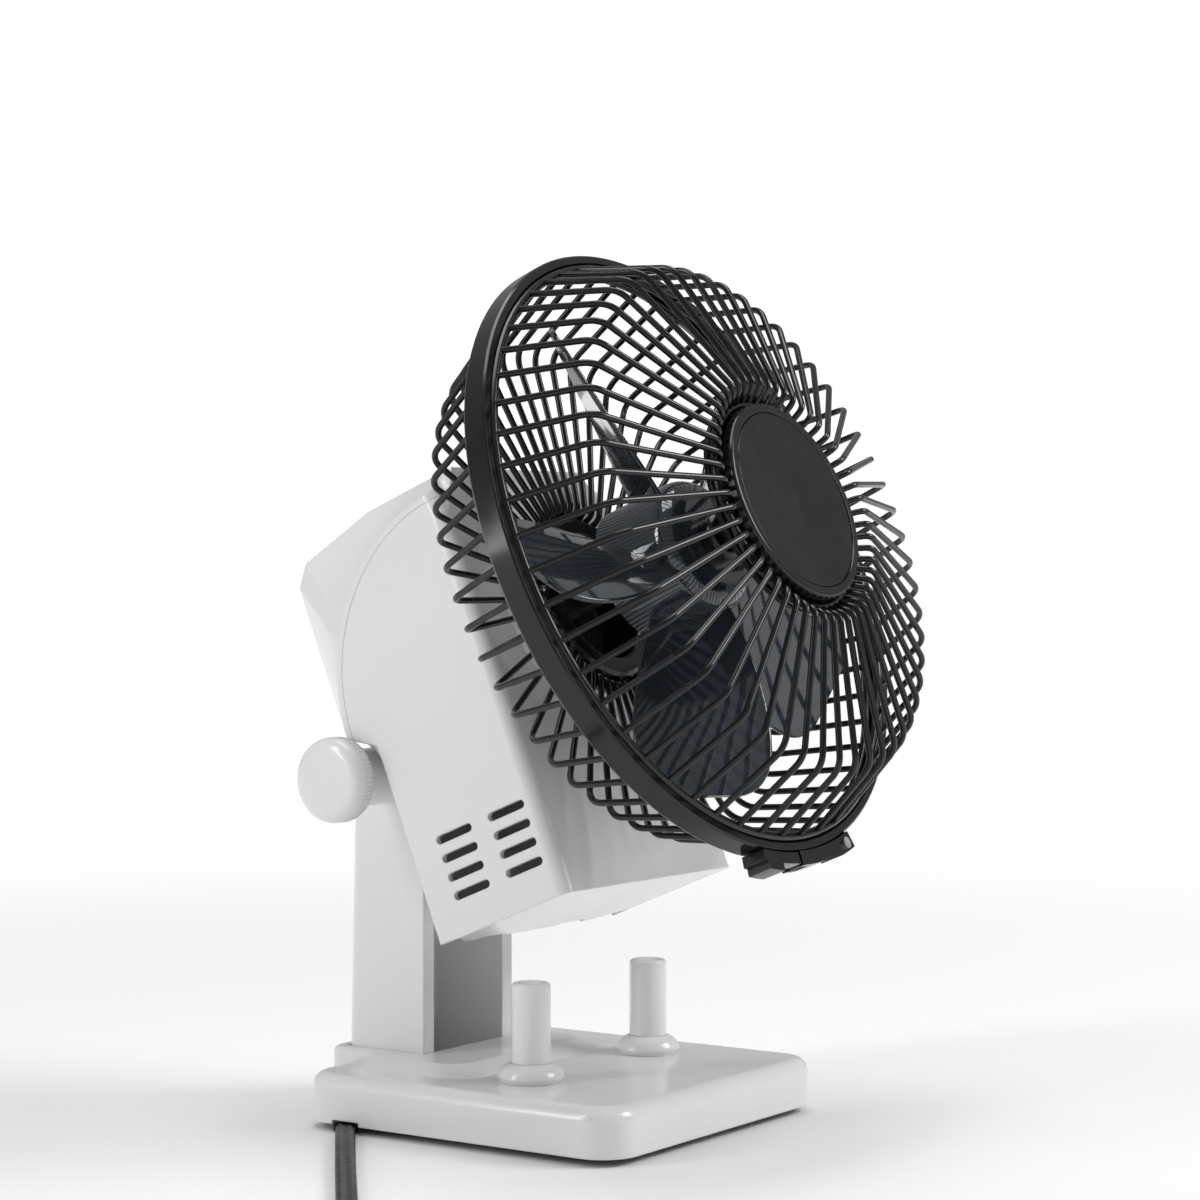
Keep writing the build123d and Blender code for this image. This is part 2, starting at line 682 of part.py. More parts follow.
HUB_R = 22.0
HUB_REAR = -16.0
HUB_FRONT = 14.0
with BuildPart() as motor_shaft:
    with BuildSketch(across_fan(REAR_SHIELD - 2)):
        Circle(SHAFT_R)
    extrude(amount=HUB_FRONT + 4.5 - REAR_SHIELD + 2)
save(motor_shaft.part, "motor_shaft")

with BuildPart() as rotor_core:
    with BuildSketch(across_fan(STACK_REAR)):
        Circle(ROTOR_R)
        Circle(SHAFT_R, mode=Mode.SUBTRACT)
    extrude(amount=STACK_FRONT - STACK_REAR)
save(rotor_core.part, "rotor_core")

# ================================================================ fan blades
BLADE_PHASE = 21.0       # the first blade leans this far left of straight up
# radius, chord, pitch from the plane of rotation, shift towards the leading edge
BLADE_STATIONS = (
    (17.0, 23.0, 50.0, 0.0), (34.0, 35.0, 42.0, 1.0), (52.0, 43.0, 36.0, 2.5),
    (68.0, 44.0, 33.0, 4.0), (77.0, 37.0, 31.5, 5.0), (BLADE_R, 22.0, 31.0, 5.5))


def blade_section_plane(radius, pitch, lead):
    """A plane across the blade at one radius; local x runs along the chord."""
    turn = math.radians(pitch)
    chord_dir = HEAD.x_dir * math.cos(turn) - HEAD.z_dir * math.sin(turn)
    origin = rim_centre + upward * radius + chord_dir * lead
    return Plane(origin=origin, x_dir=chord_dir, z_dir=upward)


with BuildPart() as one_blade:
    for radius, chord, pitch, lead in BLADE_STATIONS:
        with BuildSketch(blade_section_plane(radius, pitch, lead)):
            SlotOverall(chord, 1.7)
    loft()
blade_shape = one_blade.part

with BuildPart() as fan_blades:
    with BuildSketch(RADIAL):
        with BuildLine():
            inner = Line((SHAFT_R, HUB_REAR + 3), (SHAFT_R, HUB_FRONT))
            face = Line(inner @ 1, (HUB_R - 7, HUB_FRONT))
            nose = RadiusArc(face @ 1, (HUB_R, HUB_FRONT - 7), 7.0)
            wall = Line(nose @ 1, (HUB_R, HUB_REAR))
            lip = Line(wall @ 1, (HUB_R - 1.8, HUB_REAR))
            bore = Line(lip @ 1, (HUB_R - 1.8, HUB_FRONT - 3))
            roof = Line(bore @ 1, (7.0, HUB_FRONT - 3))
            post = Line(roof @ 1, (7.0, HUB_REAR + 3))
            Line(post @ 1, inner @ 0)
        make_face()
    revolve(axis=FAN_AXIS)
    blades = [
        blade_shape.rotate(FAN_AXIS, BLADE_PHASE - 360 * i / BLADES) for i in range(BLADES)]
    # the hub's hollow stays clear of the blade roots
    with BuildPart(mode=Mode.PRIVATE) as hollow:
        with BuildSketch(across_fan(HUB_REAR - 6)):
            Circle(HUB_R - 1.0)
        extrude(amount=HUB_FRONT - HUB_REAR + 12)
    for blade in blades:
        add(blade - hollow.part)
save(fan_blades.part, "fan_blades")

with BuildPart() as blade_nut:
    with BuildSketch(RADIAL):
        with BuildLine():
            base = Line((SHAFT_R, HUB_FRONT), (8.0, HUB_FRONT))
            side = Line(base @ 1, (8.0, HUB_FRONT + 3))
            dome = RadiusArc(side @ 1, (5.0, HUB_FRONT + 6), -3)
            top = Line(dome @ 1, (0, HUB_FRONT + 6))
            spine = Line(top @ 1, (0, HUB_FRONT + 4.5))
            roof = Line(spine @ 1, (SHAFT_R, HUB_FRONT + 4.5))
            Line(roof @ 1, base @ 0)
        make_face()
    revolve(axis=FAN_AXIS)
save(blade_nut.part, "blade_nut")

# ================================================================ guard
REAR_RING = (95.8, 2.6, 1.6)     # ring radius, place along the axis, section radius
FRONT_RING = (95.2, 7.2, 1.6)
HUB_RING = (33.5, 40.5, 1.5)
REAR_PHASE = 64.9        # degrees left of straight up to one rear wire
FRONT_PHASE = 42.5


def wire_set(count, phase, points, radii):
    """A ring of equal bent wires; points are (radius, forward) along one wire."""
    with BuildPart() as one:
        with BuildLine(RADIAL) as path:
            FilletPolyline(*points, radius=radii)
        with BuildSketch(Plane(origin=path.line @ 0, z_dir=path.line % 0)):
            Circle(WIRE_R)
        sweep()
    wire = one.part
    return [wire.rotate(FAN_AXIS, phase + 360 * i / count) for i in range(count)]


def ring(radius, s, section):
    """A round wire ring about the fan axis."""
    with BuildPart() as hoop:
        with BuildSketch(RADIAL):
            with Locations((radius, s)):
                Circle(section)
        revolve(axis=FAN_AXIS)
    return hoop.part


with BuildPart() as rear_guard:
    add(ring(*REAR_RING))
    with BuildSketch(across_fan(SEAT_FRONT)):
        Circle(SEAT_R)
        Circle(BOSS_R + 0.1, mode=Mode.SUBTRACT)
    extrude(amount=1.6)
    rear_wires = wire_set(
        REAR_WIRES, REAR_PHASE,
        [(95.5, 2.6), (83.2, -29.2), (29.5, -33.0), (29.0, -38.0)], [8.0, 3.0])
    add(rear_wires)
save(rear_guard.part, "rear_guard")

with BuildPart() as front_guard:
    add(ring(*FRONT_RING))
    add(ring(*HUB_RING))
    front_wires = wire_set(
        FRONT_WIRES, FRONT_PHASE,
        [(95.4, 7.2), (83.0, 34.5), (38.5, 46.5), (34.0, 41.0)], [8.0, 3.5])
    add(front_wires)
save(front_guard.part, "front_guard")
print("guards", len(rear_guard.part.solids()), len(front_guard.part.solids()))

with BuildPart() as guard_nut:
    with BuildSketch(across_fan(SEAT_FRONT + 1.6)):
        Circle(27.8)
        Circle(BOSS_R, mode=Mode.SUBTRACT)
        with PolarLocations(28.3, 12):
            Circle(0.9, mode=Mode.SUBTRACT)
    extrude(amount=3.4)
save(guard_nut.part, "guard_nut")

with BuildPart() as rim_band:
    with BuildSketch(RADIAL):
        with BuildLine():
            Polyline(
                (96.4, -0.2), (RIM_R - 0.6, -0.2), (RIM_R, 0.6), (RIM_R, RIM_W - 0.6),
                (RIM_R - 0.6, RIM_W), (97.2, RIM_W), (97.2, RIM_W - 0.9),
                (98.6, RIM_W - 0.9), (98.6, 1.0), (96.4, 1.0), close=True)
        make_face()
    revolve(axis=FAN_AXIS)
save(rim_band.part, "rim_band")

CAP_R = 32.2
with BuildPart() as guard_cap:
    with BuildSketch(RADIAL):
        with BuildLine():
            back = Line((0, 42.0), (29.6, 42.0))
            inner = Line(back @ 1, (29.6, 39.0))
            skirt = Line(inner @ 1, (31.7, 39.0))
            step = Line(skirt @ 1, (31.7, 43.0))
            under = Line(step @ 1, (CAP_R, 43.0))
            edge = Line(under @ 1, (CAP_R, 44.8))
            bevel = RadiusArc(edge @ 1, (CAP_R - 1.2, 46.0), -1.2)
            rim = Line(bevel @ 1, (29.2, 46.0))
            groove_out = Line(rim @ 1, (28.8, 45.2))
            groove_in = Line(groove_out @ 1, (28.4, 45.8))
            face = Line(groove_in @ 1, (0, 45.0))
            Line(face @ 1, back @ 0)
        make_face()
    revolve(axis=FAN_AXIS)
    with BuildSketch(across_fan(42.0)):
        Circle(4.0)
    extrude(amount=-3.0)
    with BuildSketch(across_fan(39.0)):
        Circle(1.3)
    extrude(amount=4.5, mode=Mode.SUBTRACT)
save(guard_cap.part, "guard_cap")

with BuildPart() as cap_retainer:
    with BuildSketch(across_fan(37.4)):
        Circle(34.8)
        Circle(1.7, mode=Mode.SUBTRACT)
        with PolarLocations(20, 5):
            Circle(4.5, mode=Mode.SUBTRACT)
    extrude(amount=1.6)
save(cap_retainer.part, "cap_retainer")

with BuildPart() as cap_screw:
    with BuildSketch(across_fan(37.4)):
        Circle(3.0)
    extrude(amount=-1.8)
    with BuildSketch(across_fan(37.4)):
        Circle(1.3)
    extrude(amount=5.6)
save(cap_screw.part, "cap_screw")

# ---- clip that holds the two guard halves together at the bottom of the rim
CLIP_PIN_R = 102.6
CLIP_PIN_AT = 181.0
CLIP_REAR = 0.3
CLIP_FRONT = 8.6
EAR_T = 1.7


def rim_point(radius, around):
    """A point across the fan, at degrees from straight up towards +X."""
    angle = math.radians(around)
    return (radius * math.sin(angle), radius * math.cos(angle))


def rim_sector(inner, outer, start, end):
    """A curved bar outline hugging the rim, added to the open line builder."""
    middle = (start + end) / 2
    low = ThreePointArc(
        rim_point(inner, start), rim_point(inner, middle), rim_point(inner, end))
    cap = Line(low @ 1, rim_point(outer, end))
    high = ThreePointArc(cap @ 1, rim_point(outer, middle), rim_point(outer, start))
    Line(high @ 1, low @ 0)


with BuildPart() as clip_keeper:
    with BuildSketch(across_fan(CLIP_REAR)):
        with BuildLine():
            rim_sector(RIM_R, 104.6, 166.0, 182.2)
        make_face()
        with BuildLine():
            rim_sector(RIM_R, 105.4, 164.0, 169.0)
        make_face()
    extrude(amount=CLIP_FRONT - CLIP_REAR)
    with BuildSketch(across_fan(CLIP_REAR + EAR_T)):
        with BuildLine():
            rim_sector(RIM_R - 1, 108.0, 179.4, 184.0)
        make_face()
    extrude(amount=CLIP_FRONT - CLIP_REAR - 2 * EAR_T, mode=Mode.SUBTRACT)
    with BuildSketch(across_fan(CLIP_REAR)):
        with Locations(rim_point(CLIP_PIN_R, CLIP_PIN_AT)):
            Circle(1.0)
    extrude(amount=CLIP_FRONT - CLIP_REAR)
    with BuildSketch(across_fan(CLIP_REAR - 1)):
        with Locations(rim_point(102.7, 166.5)):
            Circle(0.9)
    extrude(amount=CLIP_FRONT + 2, mode=Mode.SUBTRACT)
save(clip_keeper.part, "clip_keeper")

with BuildPart() as clip_screw:
    with BuildSketch(across_fan(CLIP_FRONT)):
        with Locations(rim_point(102.7, 166.5)):
            Circle(1.8)
    extrude(amount=0.9)
    with BuildSketch(across_fan(CLIP_FRONT)):
        with Locations(rim_point(102.7, 166.5)):
            Circle(0.9)
    extrude(amount=CLIP_REAR - CLIP_FRONT)
save(clip_screw.part, "clip_screw")

with BuildPart() as clip_lever:
    with BuildSketch(across_fan(CLIP_REAR)):
        with BuildLine():
            rim_sector(RIM_R + 0.4, 104.0, 183.0, 193.5)
        make_face()
        with BuildLine():
            rim_sector(RIM_R + 1.2, 106.4, 188.4, 192.6)
        make_face()
    extrude(amount=CLIP_FRONT - CLIP_REAR)
    with BuildSketch(across_fan(CLIP_REAR + EAR_T + 0.3)):
        with Locations(rim_point(CLIP_PIN_R, CLIP_PIN_AT)):
            Circle(1.9)
        with BuildLine():
            rim_sector(CLIP_PIN_R - 1.6, CLIP_PIN_R + 1.2, CLIP_PIN_AT, 184.0)
        make_face()
    extrude(amount=CLIP_FRONT - CLIP_REAR - 2 * EAR_T - 0.6)
    with BuildSketch(across_fan(CLIP_REAR)):
        with Locations(rim_point(CLIP_PIN_R, CLIP_PIN_AT)):
            Circle(1.0 + FIT)
    extrude(amount=CLIP_FRONT, mode=Mode.SUBTRACT)
save(clip_lever.part, "clip_lever")

# ================================================================ power cord
COIL_R = 37.2            # middle of the put-away turns
TURN_STEP = 6.3
COIL_TURNS = 5.25
CORD_Z = CORD_T / 2


def heading(degrees_from_x):
    """A level unit vector."""
    return Vector(math.cos(math.radians(degrees_from_x)), math.sin(math.radians(degrees_from_x)), 0)


EXIT_HEADING = math.degrees(math.atan2(CORD_DIR[1], CORD_DIR[0]))
COIL_HEADING = EXIT_HEADING + 15.0
last_bend = Vector(-176.3, -54.6, CORD_Z)
coil_entry = last_bend + heading(COIL_HEADING) * 46
coil_centre = coil_entry + heading(COIL_HEADING + 90) * (COIL_R + TURN_STEP)
cord_route = [
    Vector(*along_cord(SLEEVE_END - SLEEVE_LEN), CORD_Z),
    Vector(*along_cord(48.0), CORD_Z),
    Vector(-140.4, -25.5, CORD_Z),
    last_bend,
    coil_entry,
]
route_runs = [cord_route[i + 1] - cord_route[i] for i in range(len(cord_route) - 1)]
cord_radii = []
for before, after in zip(route_runs, route_runs[1:]):
    half_turn = math.radians(before.get_angle(after) / 2)
    shorter = min(before.length, after.length)
    cord_radii.append(0.45 * shorter / math.tan(half_turn))
print("cord radii", [round(r) for r in cord_radii], "runs", [round(r.length) for r in route_runs])


def flat_cord(path, name):
    """A flat twin cord swept along a path, its wide side level."""
    direction = path % 0
    across = Vector(-direction.Y, direction.X, 0)
    with BuildPart() as tube:
        with BuildLine():
            add(path)
        with BuildSketch(Plane(origin=path @ 0, x_dir=across, z_dir=direction)):
            SlotOverall(CORD_W, CORD_T)
        sweep()
    save(tube.part, name)
    print(name, "length", path.length, "volume", tube.part.volume)


flat_cord(FilletPolyline(*cord_route, radius=cord_radii), "power_cord")

with BuildPart() as strain_relief:
    with BuildSketch(cord_plane(SLEEVE_END - SLEEVE_LEN, 0)):
        with Locations((0, 3.0)):
            RectangleRounded(8.8, 5.4, 1.2)
    with BuildSketch(cord_plane(SLEEVE_END - SLEEVE_NECK, 0)):
        with Locations((0, 1.9)):
            RectangleRounded(7.2, 3.4, 1.0)
    loft()
    with BuildSketch(cord_plane(SLEEVE_END - SLEEVE_NECK, 0)):
        with Locations((0, 1.9)):
            RectangleRounded(7.2, 3.4, 1.0)
    extrude(amount=SLEEVE_NECK)
    with BuildSketch(cord_plane(SLEEVE_END - SLEEVE_LEN - 1, CORD_Z)):
        SlotOverall(CORD_W, CORD_T)
        with Locations((0, -CORD_Z)):
            Rectangle(CORD_W, CORD_T)
    extrude(amount=SLEEVE_LEN + 2, mode=Mode.SUBTRACT)
save(strain_relief.part, "strain_relief")

with BuildPart() as cord_coil:
    with BuildSketch(Plane(origin=(coil_centre.X, coil_centre.Y, 0))):
        Circle(COIL_R + 1.5 * TURN_STEP)
        Circle(COIL_R - 1.5 * TURN_STEP, mode=Mode.SUBTRACT)
    extrude(amount=2 * CORD_T + 0.1)
    fillet(cord_coil.edges(), radius=1.4)
save(cord_coil.part, "cord_coil")

# the tail leaves the outermost upper turn and runs straight into the plug
TAIL_HEADING = COIL_HEADING + 360 * COIL_TURNS
tail_dir = heading(TAIL_HEADING)
PLUG_Z = 7.5
tail_start = coil_centre - heading(TAIL_HEADING + 90) * (COIL_R + TURN_STEP) + Vector(0, 0, 1.5 * CORD_T)
plug_entry = tail_start + tail_dir * 30 + Vector(0, 0, PLUG_Z - 1.5 * CORD_T)
tail_rise = [
    tail_start,
    tail_start + tail_dir * 8,
    plug_entry - tail_dir * 7,
    plug_entry,
]
flat_cord(FilletPolyline(*tail_rise, radius=30.0), "cord_tail")


def plug_plane(distance):
    """A plane across the plug, measured from where the cord enters it."""
    origin = plug_entry + tail_dir * distance
    return Plane(origin=origin, x_dir=heading(TAIL_HEADING - 90), z_dir=tail_dir)


with BuildPart() as mains_plug:
    for start, end in (((0, 8.4, 6.0), (20, 13.0, 9.0)), ((20, 13.0, 9.0), (26, 24.0, 14.0))):
        for distance, width, height in (start, end):
            with BuildSketch(plug_plane(distance)):
                RectangleRounded(width, height, 0.45 * height - 0.1)
        loft()
    with BuildSketch(plug_plane(26)):
        RectangleRounded(24.0, 14.0, 6.2)
    extrude(amount=18)
    with BuildSketch(plug_plane(24)):
        with Locations((-6.35, 0), (6.35, 0)):
            Rectangle(1.5, 6.3)
    extrude(amount=20, mode=Mode.SUBTRACT)
save(mains_plug.part, "mains_plug")

with BuildPart() as plug_blades:
    with BuildSketch(plug_plane(24)):
        with Locations((-6.35, 0), (6.35, 0)):
            Rectangle(1.5, 6.3)
    extrude(amount=20 + 17)
save(plug_blades.part, "plug_blades")
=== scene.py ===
import json
import math

import bpy
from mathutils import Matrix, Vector


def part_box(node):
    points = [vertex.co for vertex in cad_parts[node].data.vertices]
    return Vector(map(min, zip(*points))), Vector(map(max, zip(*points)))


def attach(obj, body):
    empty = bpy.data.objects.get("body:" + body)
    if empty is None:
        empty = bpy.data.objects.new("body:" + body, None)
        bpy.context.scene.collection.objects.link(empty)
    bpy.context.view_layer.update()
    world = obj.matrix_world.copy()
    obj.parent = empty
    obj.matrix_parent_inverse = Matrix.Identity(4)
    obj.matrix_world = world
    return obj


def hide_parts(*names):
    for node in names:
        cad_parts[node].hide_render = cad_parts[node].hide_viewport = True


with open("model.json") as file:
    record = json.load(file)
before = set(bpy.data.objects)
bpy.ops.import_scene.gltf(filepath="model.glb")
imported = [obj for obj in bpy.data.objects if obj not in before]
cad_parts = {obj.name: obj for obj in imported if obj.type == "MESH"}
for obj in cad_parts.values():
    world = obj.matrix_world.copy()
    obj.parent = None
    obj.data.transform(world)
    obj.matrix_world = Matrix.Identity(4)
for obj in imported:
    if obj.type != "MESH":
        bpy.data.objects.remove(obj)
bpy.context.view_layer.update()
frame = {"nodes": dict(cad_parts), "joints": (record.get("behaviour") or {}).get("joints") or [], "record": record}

NODES = frame["nodes"]

# ---------------------------------------------------------------- camera
CAMERA_AT = Vector((-0.7622, -0.5383, 0.1778))
CAMERA_YAW = math.radians(55.48)      # turned from +Y towards +X
CAMERA_DROP = math.radians(0.68)      # looking slightly down
LENS = 87.1


def make_camera():
    """The camera, at the height and distance of a product shot of a small object."""
    data = bpy.data.cameras.new("camera")
    data.lens = LENS
    data.sensor_width = 36
    data.clip_start = 0.05
    data.clip_end = 60
    camera = bpy.data.objects.new("camera", data)
    bpy.context.scene.collection.objects.link(camera)
    level = math.cos(CAMERA_DROP)
    ahead = Vector((math.sin(CAMERA_YAW) * level, math.cos(CAMERA_YAW) * level, -math.sin(CAMERA_DROP)))
    camera.location = CAMERA_AT
    camera.rotation_euler = ahead.to_track_quat("-Z", "Y").to_euler()
    bpy.context.scene.camera = camera


# ---------------------------------------------------------------- light and floor
def area_light(name, place, target, width, height, power, colour=(1, 1, 1)):
    """A soft box that faces its target."""
    data = bpy.data.lights.new(name, "AREA")
    data.shape = "RECTANGLE"
    data.size = width
    data.size_y = height
    data.energy = power
    data.color = colour
    light = bpy.data.objects.new(name, data)
    light.location = place
    light.rotation_euler = (Vector(target) - Vector(place)).to_track_quat("-Z", "Y").to_euler()
    bpy.context.scene.collection.objects.link(light)


def make_world(glow, seen):
    """A white studio: the picture's background is white and the fill light is softer."""
    world = bpy.data.worlds.new("studio")
    bpy.context.scene.world = world
    world.use_nodes = True
    tree = world.node_tree
    tree.nodes.clear()
    path = tree.nodes.new("ShaderNodeLightPath")
    fill = tree.nodes.new("ShaderNodeBackground")
    fill.inputs["Color"].default_value = (0.97, 0.985, 1.0, 1)
    fill.inputs["Strength"].default_value = glow
    backdrop = tree.nodes.new("ShaderNodeBackground")
    backdrop.inputs["Color"].default_value = (1, 1, 1, 1)
    backdrop.inputs["Strength"].default_value = seen
    mix = tree.nodes.new("ShaderNodeMixShader")
    out = tree.nodes.new("ShaderNodeOutputWorld")
    tree.links.new(path.outputs["Is Camera Ray"], mix.inputs["Fac"])
    tree.links.new(fill.outputs["Background"], mix.inputs[1])
    tree.links.new(backdrop.outputs["Background"], mix.inputs[2])
    tree.links.new(mix.outputs["Shader"], out.inputs["Surface"])


def make_floor(half, near, far):
    """A plain pale floor that brightens to the white of the studio away from the object."""
    mesh = bpy.data.meshes.new("floor")
    corners = [(-half, -half, 0), (half, -half, 0), (half, half, 0), (-half, half, 0)]
    mesh.from_pydata(corners, [], [(0, 1, 2, 3)])
    floor = bpy.data.objects.new("floor", mesh)
    bpy.context.scene.collection.objects.link(floor)
    material = bpy.data.materials.new("floor")
    material.use_nodes = True
    tree = material.node_tree
    shader = tree.nodes["Principled BSDF"]
    shader.inputs["Base Color"].default_value = (0.9, 0.9, 0.9, 1)
    shader.inputs["Roughness"].default_value = 0.8
    shader.inputs["Specular IOR Level"].default_value = 0.1
    coords = tree.nodes.new("ShaderNodeTexCoord")
    length = tree.nodes.new("ShaderNodeVectorMath")
    length.operation = "LENGTH"
    fade = tree.nodes.new("ShaderNodeMapRange")
    fade.interpolation_type = "SMOOTHSTEP"
    fade.inputs["From Min"].default_value = near
    fade.inputs["From Max"].default_value = far
    glow = tree.nodes.new("ShaderNodeEmission")
    glow.inputs["Color"].default_value = (1, 1, 1, 1)
    glow.inputs["Strength"].default_value = 1.0
    mix = tree.nodes.new("ShaderNodeMixShader")
    tree.links.new(coords.outputs["Object"], length.inputs[0])
    tree.links.new(length.outputs["Value"], fade.inputs["Value"])
    tree.links.new(fade.outputs["Result"], mix.inputs["Fac"])
    tree.links.new(shader.outputs["BSDF"], mix.inputs[1])
    tree.links.new(glow.outputs["Emission"], mix.inputs[2])
    tree.links.new(mix.outputs["Shader"], tree.nodes["Material Output"].inputs["Surface"])
    mesh.materials.append(material)


# ---------------------------------------------------------------- materials
class Finish:
    """A material built from noise, with a few shared steps."""

    def __init__(self, name):
        self.material = bpy.data.materials.new(name)
        self.material.use_nodes = True
        self.tree = self.material.node_tree
        self.shader = self.tree.nodes["Principled BSDF"]
        self.coords = self.tree.nodes.new("ShaderNodeTexCoord")

    def set(self, **values):
        """Fixed shader sockets, by name with _ for a space."""
        for key, value in values.items():
            self.shader.inputs[key.replace("_", " ")].default_value = value
        return self

    def noise(self, scale, detail=3.0):
        node = self.tree.nodes.new("ShaderNodeTexNoise")
        node.inputs["Scale"].default_value = scale
        node.inputs["Detail"].default_value = detail
        self.tree.links.new(self.coords.outputs["Object"], node.inputs["Vector"])
        return node.outputs["Fac"]

    def ramp(self, source, low, high, start=0.3, end=0.7):
        """Maps a 0 to 1 value to a range of numbers."""
        node = self.tree.nodes.new("ShaderNodeMapRange")
        node.inputs["From Min"].default_value = start
        node.inputs["From Max"].default_value = end
        node.inputs["To Min"].default_value = low
        node.inputs["To Max"].default_value = high
        self.tree.links.new(source, node.inputs["Value"])
        return node.outputs["Result"]

    def colour(self, first, second, scale, start=0.35, end=0.65):
        """Blends two colours by noise."""
        node = self.tree.nodes.new("ShaderNodeMix")
        node.data_type = "RGBA"
        node.inputs["A"].default_value = (*first, 1)
        node.inputs["B"].default_value = (*second, 1)
        self.tree.links.new(self.ramp(self.noise(scale), 0, 1, start, end), node.inputs["Factor"])
        self.tree.links.new(node.outputs["Result"], self.shader.inputs["Base Color"])
        return self

    def rough(self, low, high, scale):
        self.tree.links.new(self.ramp(self.noise(scale, 5), low, high), self.shader.inputs["Roughness"])
        return self

    def bump(self, scale, depth, detail=2.0, round_edges=0.0):
        """Fine surface texture, over softly rounded edges."""
        node = self.tree.nodes.new("ShaderNodeBump")
        node.inputs["Strength"].default_value = 1.0
        node.inputs["Distance"].default_value = depth
        self.tree.links.new(self.noise(scale, detail), node.inputs["Height"])
        if round_edges:
            bevel = self.tree.nodes.new("ShaderNodeBevel")
            bevel.samples = 4
            bevel.inputs["Radius"].default_value = round_edges
            self.tree.links.new(bevel.outputs["Normal"], node.inputs["Normal"])
        self.tree.links.new(node.outputs["Normal"], self.shader.inputs["Normal"])
        return self


def white_shell():
    """Glossy white moulded plastic with a faint orange peel."""
    finish = Finish("white_shell").colour((0.79, 0.79, 0.788), (0.80, 0.80, 0.80), 25)
    finish.rough(0.2, 0.26, 40).bump(500, 0.000002, 2, round_edges=0.0009)
    return finish.set(Coat_Weight=0.25, Coat_Roughness=0.08).material


def underside_plastic():
    finish = Finish("underside_plastic").colour((0.05, 0.05, 0.052), (0.08, 0.08, 0.082), 120)
    return finish.rough(0.5, 0.65, 300).bump(1500, 0.00003).material


def foot_rubber():
    finish = Finish("foot_rubber").colour((0.02, 0.02, 0.02), (0.035, 0.035, 0.035), 200)
    return finish.rough(0.7, 0.85, 400).bump(2500, 0.00004).material


def plated_steel():
    finish = Finish("plated_steel").colour((0.5, 0.5, 0.5), (0.62, 0.61, 0.58), 300)
    return finish.rough(0.25, 0.42, 500).bump(1800, 0.00001).set(Metallic=1.0).material


def laminated_steel():
    """Varnished laminations, stacked along the fan axis."""
    finish = Finish("laminated_steel").colour((0.06, 0.06, 0.065), (0.12, 0.11, 0.1), 90)
    return finish.rough(0.35, 0.55, 200).bump(1200, 0.00005).set(Metallic=0.7).material


def copper_wire():
    finish = Finish("copper_wire").colour((0.42, 0.13, 0.05), (0.55, 0.2, 0.08), 500)
    return finish.rough(0.25, 0.4, 700).bump(1500, 0.0001).set(Metallic=0.8).material


def guard_paint():
    """Glossy black powder coat on the guard wires."""
    finish = Finish("guard_paint").colour((0.003, 0.003, 0.003), (0.006, 0.006, 0.006), 150)
    finish.rough(0.16, 0.24, 300).bump(1600, 0.000004)
    return finish.set(Specular_IOR_Level=0.45).material


def black_plastic():
    finish = Finish("black_plastic").colour((0.004, 0.004, 0.004), (0.007, 0.007, 0.007), 120)
    finish.rough(0.13, 0.18, 60).bump(500, 0.000001, 2, round_edges=0.0004)
    return finish.set(Specular_IOR_Level=0.45).material


def smoked_blades():
    """Smoky see-through plastic, polished, so that it mirrors the room."""
    finish = Finish("smoked_blades").colour((0.035, 0.045, 0.06), (0.045, 0.055, 0.07), 30)
    finish.rough(0.05, 0.08, 50).bump(60, 0.000004)
    finish.set(Transmission_Weight=0.45, IOR=1.55, Coat_Weight=0.6, Coat_Roughness=0.03)
    return finish.material


def cord_jacket():
    finish = Finish("cord_jacket").colour((0.004, 0.004, 0.004), (0.008, 0.008, 0.008), 250)
    return finish.rough(0.34, 0.46, 500).bump(2000, 0.00001).set(Specular_IOR_Level=0.35).material


FINISHES = {
    "white_shell": white_shell(), "underside_plastic": underside_plastic(),
    "feet": foot_rubber(), "steel": plated_steel(), "laminations": laminated_steel(),
    "copper": copper_wire(), "guard_wire": guard_paint(), "black_plastic": black_plastic(),
    "smoke_blades": smoked_blades(), "cord_rubber": cord_jacket()}


def paint_nodes():
    """Every CAD piece gets the finish of its slot in the record."""
    for row in frame["record"]["subparts"]:
        mesh = NODES[row["node"]].data
        mesh.materials.clear()
        mesh.materials.append(FINISHES[row["material_slot"]])


# ---------------------------------------------------------------- power cord
CORD_W = 0.0062
CORD_T = 0.0032
EXIT = (-0.04429, 0.05444, 0.0016)
ROUTE = [EXIT, (-0.09756, 0.01062, 0.0016), (-0.1404, -0.0255, 0.0016), (-0.1763, -0.0546, 0.0016)]
COIL_R = 0.0372
TURN_STEP = 0.0063
COIL_TURNS = 5.25
POINTS_PER_TURN = 16
EXIT_HEADING = math.atan2(-0.635, -0.772)
COIL_BEND = math.radians(15.0)        # the cord turns this far before the coil
TURNS_INWARD = 2.0                    # the lower layer winds in over these turns
OUTWARD_FROM = 3.25                   # turn at which the upper layer starts back out
LIFT_FROM = 2.6                       # turn at which the cord climbs onto the lower layer
LIFT_TURNS = 0.5


def coil_points():
    """The put-away turns: three side by side on the floor, then back out on top of them."""
    low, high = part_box("cord_coil")
    centre = (low + high) / 2
    start = EXIT_HEADING + COIL_BEND - math.pi / 2
    points = []
    for i in range(int(COIL_TURNS * POINTS_PER_TURN) + 1):
        turn = i / POINTS_PER_TURN
        inward = min(turn, TURNS_INWARD)
        outward = max(0.0, turn - OUTWARD_FROM)
        radius = COIL_R + TURN_STEP * (1 - inward + min(outward, TURNS_INWARD))
        lift = min(1.0, max(0.0, (turn - LIFT_FROM) / LIFT_TURNS))
        height = CORD_T * (0.5 + lift * lift * (3 - 2 * lift))
        angle = start + 2 * math.pi * turn
        points.append((centre.x + radius * math.cos(angle), centre.y + radius * math.sin(angle), height))
    return points


